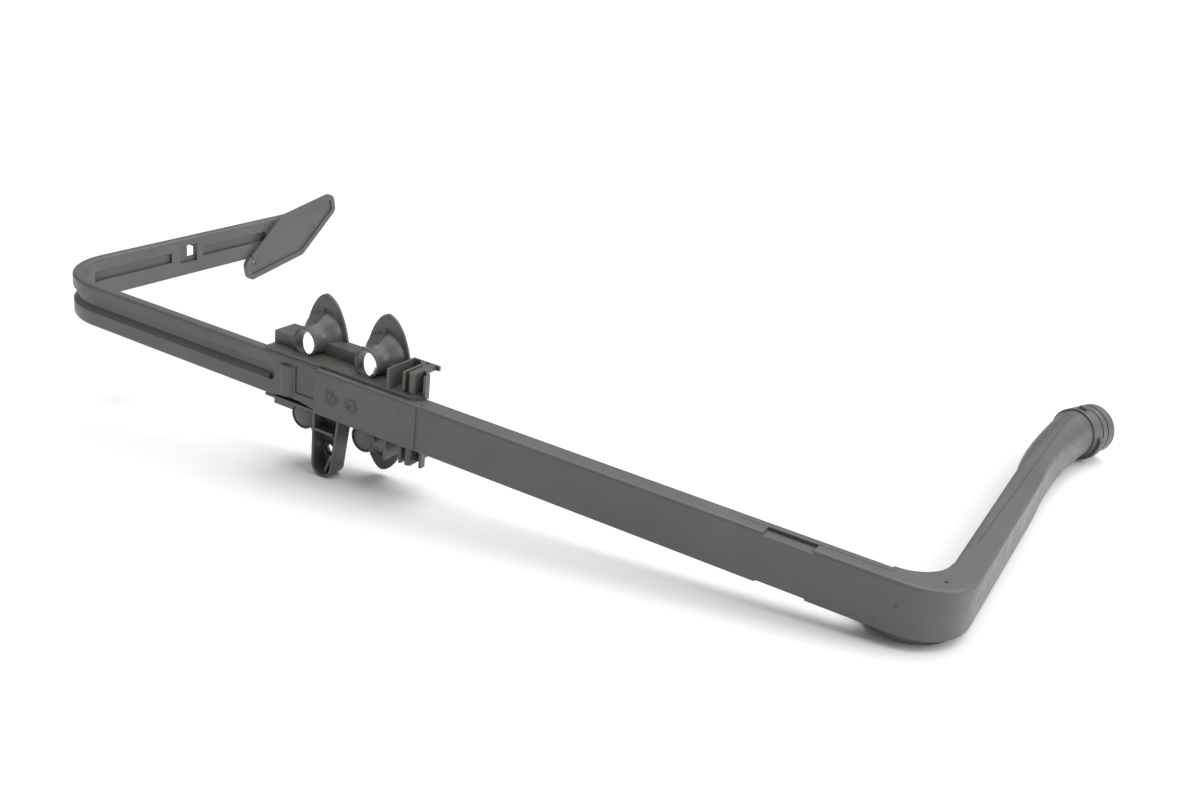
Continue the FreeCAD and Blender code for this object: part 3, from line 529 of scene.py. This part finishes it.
@dataclass(frozen=True)
class PartingLine:
    """Flash left where the halves of the mould met: a fine ridge that follows the surface.

    Attributes:
        name: The piece's name.
        route: Where it runs, as pairs of x and y.
        above: Whether it is on the side away from the floor.
        wire: The ridge's radius.
        wire_segments: How many straight stretches its section has.
        step: How far apart the points lie that are dropped onto the tube.
        start_height: How far from the tube's middle they are dropped.
    """

    name: str
    route: Profile
    above: bool = True
    wire: float = 0.16
    wire_segments: int = 6
    step: float = 1.2
    start_height: float = 30.0

    def tree(self, material: bpy.types.Material) -> bpy.types.NodeTree:
        """Builds the ridge's tree: a line dropped onto the tube, with a thin wire along it.

        Args:
            material: The ridge's material.

        Returns:
            The tree, with its sizes as named inputs.
        """
        tree, given = new_tree(self.name, {"Wire": self.wire * MM, "Step": self.step * MM})
        out = given.outputs
        side = 1 if self.above else -1
        drop = (AXES.to_3x3() @ Vector((0, 0, -side))).normalized()
        line = add_node(tree, "GeometryNodeResampleCurve", {"mode": "LENGTH"}, {
            "Curve": out["Geometry"], "Length": out["Step"]})
        target = add_node(tree, "GeometryNodeObjectInfo", {"transform_space": "RELATIVE"}, {
            "Object": frame["nodes"]["supply_tube"]})
        cast = add_node(tree, "GeometryNodeRaycast", None, {
            "Target Geometry": target.outputs["Geometry"], "Ray Direction": drop,
            "Ray Length": 2 * self.start_height * MM})
        landed = add_node(tree, "GeometryNodeSetPosition", None, {
            "Geometry": line.outputs[0], "Selection": cast.outputs["Is Hit"],
            "Position": cast.outputs["Hit Position"]})
        ring = add_node(tree, "GeometryNodeCurvePrimitiveCircle", None, {
            "Resolution": self.wire_segments, "Radius": out["Wire"]})
        ridge = add_node(tree, "GeometryNodeCurveToMesh", None, {
            0: landed.outputs[0], 1: ring.outputs[0], "Fill Caps": True})
        end_tree(tree, ridge.outputs[0], material)
        return tree

    def build(self, material: bpy.types.Material) -> bpy.types.Object:
        """Makes the ridge along its route.

        Args:
            material: The ridge's material.

        Returns:
            The piece.
        """
        side = 1 if self.above else -1
        line = bpy.data.curves.new(self.name + "_line", "CURVE")
        line.dimensions = "3D"
        spline = line.splines.new("POLY")
        spline.points.add(len(self.route) - 1)
        for point, (x, y) in zip(spline.points, self.route):
            point.co = (AXES @ Vector((x, y, side * self.start_height))).to_4d()
        sizes = {"Wire": self.wire * MM, "Step": self.step * MM}
        return grow(self.name, line, self.tree(material), sizes, Matrix.Identity(4))


@dataclass(frozen=True)
class MouldNub:
    """A low round stub of plastic, where a gate or an ejector pin left its mark.

    Attributes:
        name: The piece's name.
        place: Where it stands on the surface.
        facing: The direction that it stands out in.
        radius: Its radius at the foot.
        proud: How far it stands out.
        sunk: How far its foot reaches into the plastic.
        taper: Its radius at the top, as a share of that at the foot.
        rim_share: The rounding of its rim, as a share of its height.
        rim_segments: How many steps the rounding has.
        segments: How many sides it has.
    """

    name: str
    place: Point
    facing: Point
    radius: float = 0.9
    proud: float = 0.35
    sunk: float = 0.3
    taper: float = 0.9
    rim_share: float = 0.4
    rim_segments: int = 2
    segments: int = 24

    def build(self, material: bpy.types.Material, slot: Slot) -> bpy.types.Object:
        """Makes the stub with a rounded rim.

        Args:
            material: The stub's material.
            slot: The record's slot that it belongs to; not used.

        Returns:
            The piece.
        """
        shape = bmesh.new()
        tall = self.proud + self.sunk
        bmesh.ops.create_cone(
            shape, cap_ends=True, segments=self.segments, radius1=self.radius,
            radius2=self.radius * self.taper, depth=tall,
            matrix=Matrix.Translation((0, 0, tall / 2 - self.sunk)))
        rim = [e for e in shape.edges if all(v.co.z > 0 for v in e.verts)]
        bmesh.ops.bevel(
            shape, geom=rim, offset=self.proud * self.rim_share, segments=self.rim_segments,
            affect="EDGES")
        turn = Vector((0, 0, 1)).rotation_difference(Vector(self.facing)).to_matrix().to_4x4()
        shape.transform(AXES @ Matrix.Translation(self.place) @ turn)
        mesh = bpy.data.meshes.new(self.name)
        shape.to_mesh(mesh)
        shape.free()
        mesh.materials.append(material)
        return show(self.name, mesh)


# Where the parting line runs down the lower leg, as pairs of x and y.
LOWER_LEG_SEAM: Profile = (
    (-10.4, 62.0), (-9.5, 107.6), (-8.5, 144.0), (-7.6, 188.5), (-7.1, 213.7), (-6.6, 240.5),
    (-5.4, 259.4), (-2.0, 273.0))


@dataclass
class SupplyTube:
    """The tube, its date dials, parting lines, gate stubs and ejector marks."""

    dials: list[DateDial] = field(default_factory=lambda: [
        DateDial("date_dial_upper", height=352.6, across=0.0, turned=70.0),
        DateDial("date_dial_lower", height=338.3, across=-0.3, turned=205.0),
    ])
    seams: list[PartingLine] = field(default_factory=lambda: [
        PartingLine("parting_line_notch_above", ((-108.6, 6.7), (-96.6, 6.8))),
        PartingLine("parting_line_notch_below", ((-69.3, 6.9), (-34.3, 7.2), (-34.3, 11.3))),
        PartingLine("parting_line_lower_leg", LOWER_LEG_SEAM),
        PartingLine("parting_line_lower_leg_beneath", LOWER_LEG_SEAM, above=False),
    ])
    stubs: list[MouldNub] = field(default_factory=lambda: [
        MouldNub("gate_stub_bend", (-12.5, 14.8, 13.5), (0, 0, 1), radius=1.1),
        MouldNub("gate_stub_box", (-364.7, 1.2, 13.2), (0, -0.7, 0.7), radius=0.8),
        MouldNub("gate_stub_band", (-292.6, 2.2, 13.4), (0, 0, 1), radius=0.8),
        MouldNub("ejector_dot_column", (-306.8, 0, 5.6), (0, -1, 0), radius=0.6, proud=0.12),
        MouldNub("ejector_dot_foot", (-37.0, 0, -8.7), (0, -1, 0), radius=0.6, proud=0.12),
        MouldNub("ejector_dot_bend", (-28.6, 0, 1.6), (0, -1, 0), radius=0.7, proud=0.12),
    ])

    def build(self) -> None:
        """Dresses the tube and adds its moulded marks."""
        plastic = TUBE_PLASTIC.make()
        # The dials, parting lines and stubs take the darker plastic, whose colour is painted shade.
        marks = MARK_PLASTIC_PAINTED_SHADE.make()
        dress("supply_tube", plastic)
        for dial in self.dials:
            dial.build(marks)
        for seam in self.seams:
            seam.build(marks)
        for stub in self.stubs:
            stub.build(marks, Slot.TUBE)


def oval(x: float, y: float, z: float, wide: float, tall: float, segments: int = 64) -> Outline:
    """Gives the points of an oval across the tube's y axis.

    Args:
        x: Where its middle is along the column.
        y: Where its middle is off the rear wall.
        z: Where its middle is across the tube.
        wide: Its half size along x.
        tall: Its half size along z.
        segments: How many points go round it.

    Returns:
        The points in millimetres in the tube's axes.
    """
    turns = [math.tau * i / segments for i in range(segments)]
    return [(x + wide * math.cos(a), y, z + tall * math.sin(a)) for a in turns]


def loft(name: str, outlines: list[Outline]) -> bpy.types.Object:
    """Makes a closed solid through like outlines, to join or to cut with.

    Args:
        name: The solid's name.
        outlines: The outlines in order, each with as many points.

    Returns:
        The solid as a helper object, linked to the scene.
    """
    shape = bmesh.new()
    loops = [[shape.verts.new(point) for point in outline] for outline in outlines]
    shape.faces.new(loops[0])
    shape.faces.new(loops[-1])
    for near, far in zip(loops, loops[1:]):
        for i, corner in enumerate(near):
            after = (i + 1) % len(near)
            shape.faces.new((corner, near[after], far[after], far[i]))
    bmesh.ops.recalc_face_normals(shape, faces=shape.faces)
    shape.transform(AXES)
    mesh = bpy.data.meshes.new(name)
    shape.to_mesh(mesh)
    shape.free()
    return link(name, mesh)


def port_place(mount: str, beneath: bool) -> tuple[float, float]:
    """Finds a guide socket's axis from its mount.

    Args:
        mount: The mount's name.
        beneath: Whether to give the place mirrored across the tube.

    Returns:
        Its x and z in millimetres in the tube's axes.
    """
    x, _, z = AXES.inverted() @ Vector(MOUNTS[mount]["pos_m"])
    return x, -z if beneath else z


class Step(Enum):
    """What a helper solid does to the docking station."""

    JOIN = "UNION"
    CUT = "DIFFERENCE"


HelperStep = tuple[bpy.types.Object, Step]


@dataclass(frozen=True)
class GuideSocket:
    """A guide socket as the photograph shows it: a thin rim, a bell behind it and a gusset.

    The CAD's socket has a thicker rim and a plainer flare. The upper ones are open and the
    floor shows through them. The lower ones are closed by a low cap.

    Attributes:
        name: What the names of its helper solids start with.
        mount: The mount on its axis, or on the axis of the socket above it.
        beneath: Whether it is a closed one, on the side toward the floor.
        outside: Its outside, as pairs of place along y and radius, from the rim to the flange.
        nose: Radius of the cut that takes off the CAD's domed nose.
        nose_ends: Where that cut starts and ends, along y.
        bore: Radius of its inside.
        recess: Where the hole in the rim that takes the cap starts and ends, along y.
        throat: Where the straight stretch of an open socket's inside starts and ends.
        cavity: Where the straight stretch behind a cap starts and ends.
        mouth: How the inside widens toward the flange, as pairs like the outside's.
        cap: The cap, as pairs of place along y and radius.
        gusset_half: Half the thickness of the gusset.
        gusset: The gusset's corners, as pairs of place along y and distance from the axis.
        passage_at: Where the slanting passage starts, from the axis along x and z.
        passage_half: The passage's half sizes along x and z.
        passage_ends: Where the passage starts and ends, along y.
        slant: How far the passage moves along x and z for each millimetre along y.
    """

    name: str
    mount: str
    beneath: bool = False
    outside: Profile = (
        (8.95, 7.95), (9.3, 8.3), (11.2, 8.3), (11.4, 8.05), (14.5, 8.1), (16.0, 8.5), (17.5, 9.2),
        (19.0, 10.1), (20.5, 11.2), (22.0, 12.2), (23.5, 13.1), (25.0, 13.8), (26.2, 14.2))
    nose: float = 7.25
    nose_ends: tuple[float, float] = (3.0, 9.4)
    bore: float = 7.35
    recess: tuple[float, float] = (7.0, 9.9)
    throat: tuple[float, float] = (7.0, 17.0)
    cavity: tuple[float, float] = (12.0, 18.0)
    mouth: Profile = (
        (20.0, 8.3), (22.0, 9.4), (24.0, 10.6), (25.5, 11.5), (27.0, 12.4), (30.0, 12.4))
    cap: Profile = (
        (8.1, 0.4), (8.15, 2.2), (8.35, 3.9), (8.7, 5.4), (9.15, 6.6), (9.6, 7.1), (11.0, 7.1))
    gusset_half: float = 0.45
    gusset: Profile = ((17.5, 10.1), (26.0, 17.4), (26.0, 12.0), (18.0, 8.0))
    passage_at: tuple[float, float] = (1.5, -0.85)
    passage_half: tuple[float, float] = (4.3, 6.8)
    passage_ends: tuple[float, float] = (11.2, 30.0)
    slant: tuple[float, float] = (-0.909, -0.522)

    def steps(self) -> list[HelperStep]:
        """Makes the socket's helper solids in the order they are used.

        Returns:
            Each solid with what it does.
        """
        x, z = port_place(self.mount, self.beneath)
        side = -1 if self.beneath else 1
        bell = loft(self.name + "_outside", [oval(x, y, z, r, r) for y, r in self.outside])
        plate = loft(self.name + "_gusset", [
            [(x + half, y, z + side * r) for y, r in self.gusset]
            for half in (-self.gusset_half, self.gusset_half)])
        if self.beneath:
            nose = loft(self.name + "_nose", [
                oval(x, y, z, self.nose, self.nose) for y in self.nose_ends])
            recess = loft(self.name + "_recess", [
                oval(x, y, z, self.bore, self.bore) for y in self.recess])
            hollow = self.hollow(x, z, self.cavity)
            cap = loft(self.name + "_cap", [oval(x, y, z, r, r) for y, r in self.cap])
            return [(nose, Step.CUT), (bell, Step.JOIN), (plate, Step.JOIN), (hollow, Step.CUT),
                    (recess, Step.CUT), (cap, Step.JOIN)]
        first = self.passage_ends[0]
        passage = loft(self.name + "_passage", [
            oval(x + self.passage_at[0] + self.slant[0] * (y - first), y,
                 z + self.passage_at[1] + self.slant[1] * (y - first), *self.passage_half)
            for y in self.passage_ends])
        hollow = self.hollow(x, z, self.throat)
        return [(bell, Step.JOIN), (plate, Step.JOIN), (hollow, Step.CUT), (passage, Step.CUT)]

    def hollow(self, x: float, z: float, straight: tuple[float, float]) -> bpy.types.Object:
        """Makes the inside of the bell.

        Args:
            x: Where the socket's axis is along the column.
            z: Where it is across the tube.
            straight: Where the straight stretch ahead of the mouth starts and ends, along y.

        Returns:
            The solid to cut with.
        """
        profile = [(y, self.bore) for y in straight] + list(self.mouth)
        return loft(self.name + "_hollow", [oval(x, y, z, r, r) for y, r in profile])


@dataclass(frozen=True)
class FlangeTrim:
    """What the photograph's flange lacks of the CAD's oval: a crescent toward the upper leg.

    Attributes:
        name: The helper solid's name.
        mount: The mount on the flange's axis, or on the axis of the flange above it.
        beneath: Whether it is a flange on the side toward the floor.
        shift: How far the photograph's oval lies toward the foot.
        half_width: Half the oval's size along the column.
        half_height: Half its size across the tube.
        from_middle: How far from the tube's middle the crescent starts.
        margin: How far the cut reaches past the flange, along x and z.
        ends: Where the cut starts and ends, along y.
        segments: How many straight stretches the oval's edge has.
    """

    name: str
    mount: str
    beneath: bool = False
    shift: float = 1.9
    half_width: float = 17.8
    half_height: float = 47.6
    from_middle: float = 23.2
    margin: tuple[float, float] = (22.0, 52.0)
    ends: tuple[float, float] = (25.3, 29.0)
    segments: int = 24

    def steps(self) -> list[HelperStep]:
        """Makes the solid that cuts round the flange's tip.

        Returns:
            The solid and what it does.
        """
        port, _ = port_place(self.mount, self.beneath)
        side = -1 if self.beneath else 1
        tip = math.pi / 2
        sweep = tip - math.asin(self.from_middle / self.half_height)
        turns = [tip + sweep * i / self.segments for i in range(self.segments + 1)]
        wide, tall = self.margin
        corners = [
            (port + self.shift + self.half_width * math.cos(a), self.half_height * math.sin(a))
            for a in turns]
        corners += [
            (port - wide, self.from_middle), (port - wide, tall), (port + self.shift, tall)]
        trim = loft(self.name, [[(x, y, side * z) for x, z in corners] for y in self.ends])
        return [(trim, Step.CUT)]


@dataclass
class DockingStation:
    """The docking station with its guide sockets, flanges and port seals.

    The CAD node's mesh is welded, the helper solids join and cut it, and edges sharper than the
    crease stay sharp.
    """

    node: str = "docking_station"
    seals: tuple[str, ...] = ("port_seal_upper", "port_seal_lower")
    sockets: list[GuideSocket] = field(default_factory=lambda: [
        GuideSocket("socket_upper", "guide_socket_upper"),
        GuideSocket("socket_lower", "guide_socket_lower"),
        GuideSocket("socket_upper_beneath", "guide_socket_upper", beneath=True),
        GuideSocket("socket_lower_beneath", "guide_socket_lower", beneath=True),
    ])
    trims: list[FlangeTrim] = field(default_factory=lambda: [
        FlangeTrim("flange_trim_upper", "guide_socket_upper"),
        FlangeTrim("flange_trim_lower", "guide_socket_lower"),
        FlangeTrim("flange_trim_upper_beneath", "guide_socket_upper", beneath=True),
        FlangeTrim("flange_trim_lower_beneath", "guide_socket_lower", beneath=True),
    ])
    weld: float = 0.001
    crease: float = 32.0

    def welded(self) -> bpy.types.Mesh:
        """Copies the CAD node's mesh as one closed skin.

        Returns:
            The copy, without the CAD's normals, which no longer fit once it is cut.
        """
        shape = bmesh.new()
        shape.from_mesh(frame["nodes"][self.node].data)
        bmesh.ops.remove_doubles(shape, verts=shape.verts, dist=self.weld * MM)
        whole = bpy.data.meshes.new(self.node + "_whole")
        shape.to_mesh(whole)
        shape.free()
        if "custom_normal" in whole.attributes:
            whole.attributes.remove(whole.attributes["custom_normal"])
        return whole

    def shaped(self, material: bpy.types.Material) -> bpy.types.Mesh:
        """Joins and cuts a copy of the CAD node's mesh.

        Args:
            material: The material for all faces.

        Returns:
            The shaped mesh, smooth up to the crease angle.
        """
        whole = self.welded()
        whole.materials.clear()
        whole.materials.append(material)
        maker = link(whole.name, whole)
        steps = [step for piece in (*self.sockets, *self.trims) for step in piece.steps()]
        for tool, does in steps:
            tool.data.materials.append(material)
            change = maker.modifiers.new(tool.name, "BOOLEAN")
            change.operation = does.value
            change.solver = "EXACT"
            change.object = tool
        mesh = bake(maker)
        for tool, _ in steps:
            bpy.data.objects.remove(tool)
        mesh.shade_smooth()
        mesh.set_sharp_from_angle(angle=math.radians(self.crease))
        return mesh

    def build(self) -> None:
        """Dresses the docking station and its seals."""
        plastic = DOCK_PLASTIC.make()
        moulding = show("docking_station_moulding", self.shaped(plastic))
        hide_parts(self.node)
        rubber = SealRubber().make()
        for seal in self.seals:
            dress(seal, rubber)


def hang(name: str, data: bpy.types.Light, along: Vector) -> bpy.types.Object:
    """Links a light that shines along a direction.

    Args:
        name: The light's name.
        data: The light's data.
        along: The direction in the frame.

    Returns:
        The light.
    """
    light = link(name, data)
    light.rotation_euler = along.to_track_quat("-Z", "Y").to_euler()
    return light


@dataclass(frozen=True)
class SkyPanel:
    """A far, wide light that lights the whole floor evenly."""

    name: str
    comes_from: Point
    strength: float
    spread_degrees: float

    def build(self) -> None:
        """Makes the light as a soft sun."""
        data = bpy.data.lights.new(self.name, "SUN")
        data.energy = self.strength
        data.angle = math.radians(self.spread_degrees)
        hang(self.name, data, -Vector(self.comes_from))


@dataclass(frozen=True)
class SoftLight:
    """A square studio light aimed at a point of the tube."""

    name: str
    stands: Point
    aims: Point
    side: float
    watts: float
    colour: str = "#ffffff"

    def build(self) -> None:
        """Makes the light, in metres in the frame."""
        data = bpy.data.lights.new(self.name, "AREA")
        data.shape = "SQUARE"
        data.size = self.side
        data.energy = self.watts
        data.color = linear(self.colour)[:3]
        light = hang(self.name, data, Vector(self.aims) - Vector(self.stands))
        light.location = self.stands


@dataclass
class Studio:
    """A pale floor, soft lights and the camera at the photograph's angle.

    The camera was fitted to the tube's straight edges in the photograph. Its place and aim are
    in the tube's axes. The lights' places are in metres in the frame.
    """

    floor_side: float = 60.0
    floor_colour: str = "#fbfbfb"
    floor_roughness: float = 0.9
    floor_specular: float = 0.2
    world_colour: str = "#ffffff"
    world_strength: float = 0.3
    camera_at: Point = (62.83, -479.32, 277.65)
    camera_aim: Point = (-242.4, 107.6, 0.0)
    camera_roll: float = 1.66
    lens: float = 36.76
    sensor: float = 36.0
    clip: tuple[float, float] = (0.01, 50)
    lights: list[SkyPanel | SoftLight] = field(default_factory=lambda: [
        SkyPanel("overhead", (0.15, 0.3, 1.0), 2.75, 75.0),
        SoftLight("right_side", (1.5, 0.0, 0.7), (0.1, 0.0, 0.05), 1.0, 12.0),
    ])

    def floor(self) -> None:
        """Makes the floor in plain matt paper."""
        half = self.floor_side / 2
        mesh = bpy.data.meshes.new("floor")
        mesh.from_pydata([(-half, -half, 0), (half, -half, 0), (half, half, 0), (-half, half, 0)],
                         [], [(0, 1, 2, 3)])
        paper = bpy.data.materials.new("matt_paper")
        paper.use_nodes = True
        shader = paper.node_tree.nodes["Principled BSDF"]
        shader.inputs["Base Color"].default_value = linear(self.floor_colour)
        shader.inputs["Roughness"].default_value = self.floor_roughness
        shader.inputs["Specular IOR Level"].default_value = self.floor_specular
        mesh.materials.append(paper)
        ground = link("floor", mesh)

    def surroundings(self) -> None:
        """Sets an even pale surrounding."""
        world = bpy.data.worlds.new("studio")
        world.use_nodes = True
        sky = world.node_tree.nodes["Background"]
        sky.inputs["Color"].default_value = linear(self.world_colour)
        sky.inputs["Strength"].default_value = self.world_strength
        bpy.context.scene.world = world
        bpy.context.scene.view_settings.view_transform = "Standard"

    def camera(self) -> None:
        """Makes the camera at the photograph's place, aim, roll and lens."""
        data = bpy.data.cameras.new("camera")
        data.lens = self.lens
        data.sensor_width = self.sensor
        data.sensor_fit = "HORIZONTAL"
        data.clip_start, data.clip_end = self.clip
        data.dof.use_dof = False
        eye = AXES @ Vector(self.camera_at)
        forward = (AXES @ Vector(self.camera_aim) - eye).normalized()
        level = forward.cross(Vector((0, 0, 1))).normalized()
        rolled = Matrix.Rotation(-math.radians(self.camera_roll), 3, forward) @ level
        up = rolled.cross(forward)
        camera = link("camera", data)
        turn = Matrix((rolled, up, -forward)).transposed().to_4x4()
        camera.matrix_world = Matrix.Translation(eye) @ turn
        bpy.context.scene.camera = camera

    def build(self) -> None:
        """Sets up the whole studio."""
        self.floor()
        self.surroundings()
        for light in self.lights:
            light.build()
        self.camera()


def main() -> None:
    """Builds the dressed object and its studio."""
    SupplyTube().build()
    DockingStation().build()
    Studio().build()


if __name__ == "__main__":
    main()
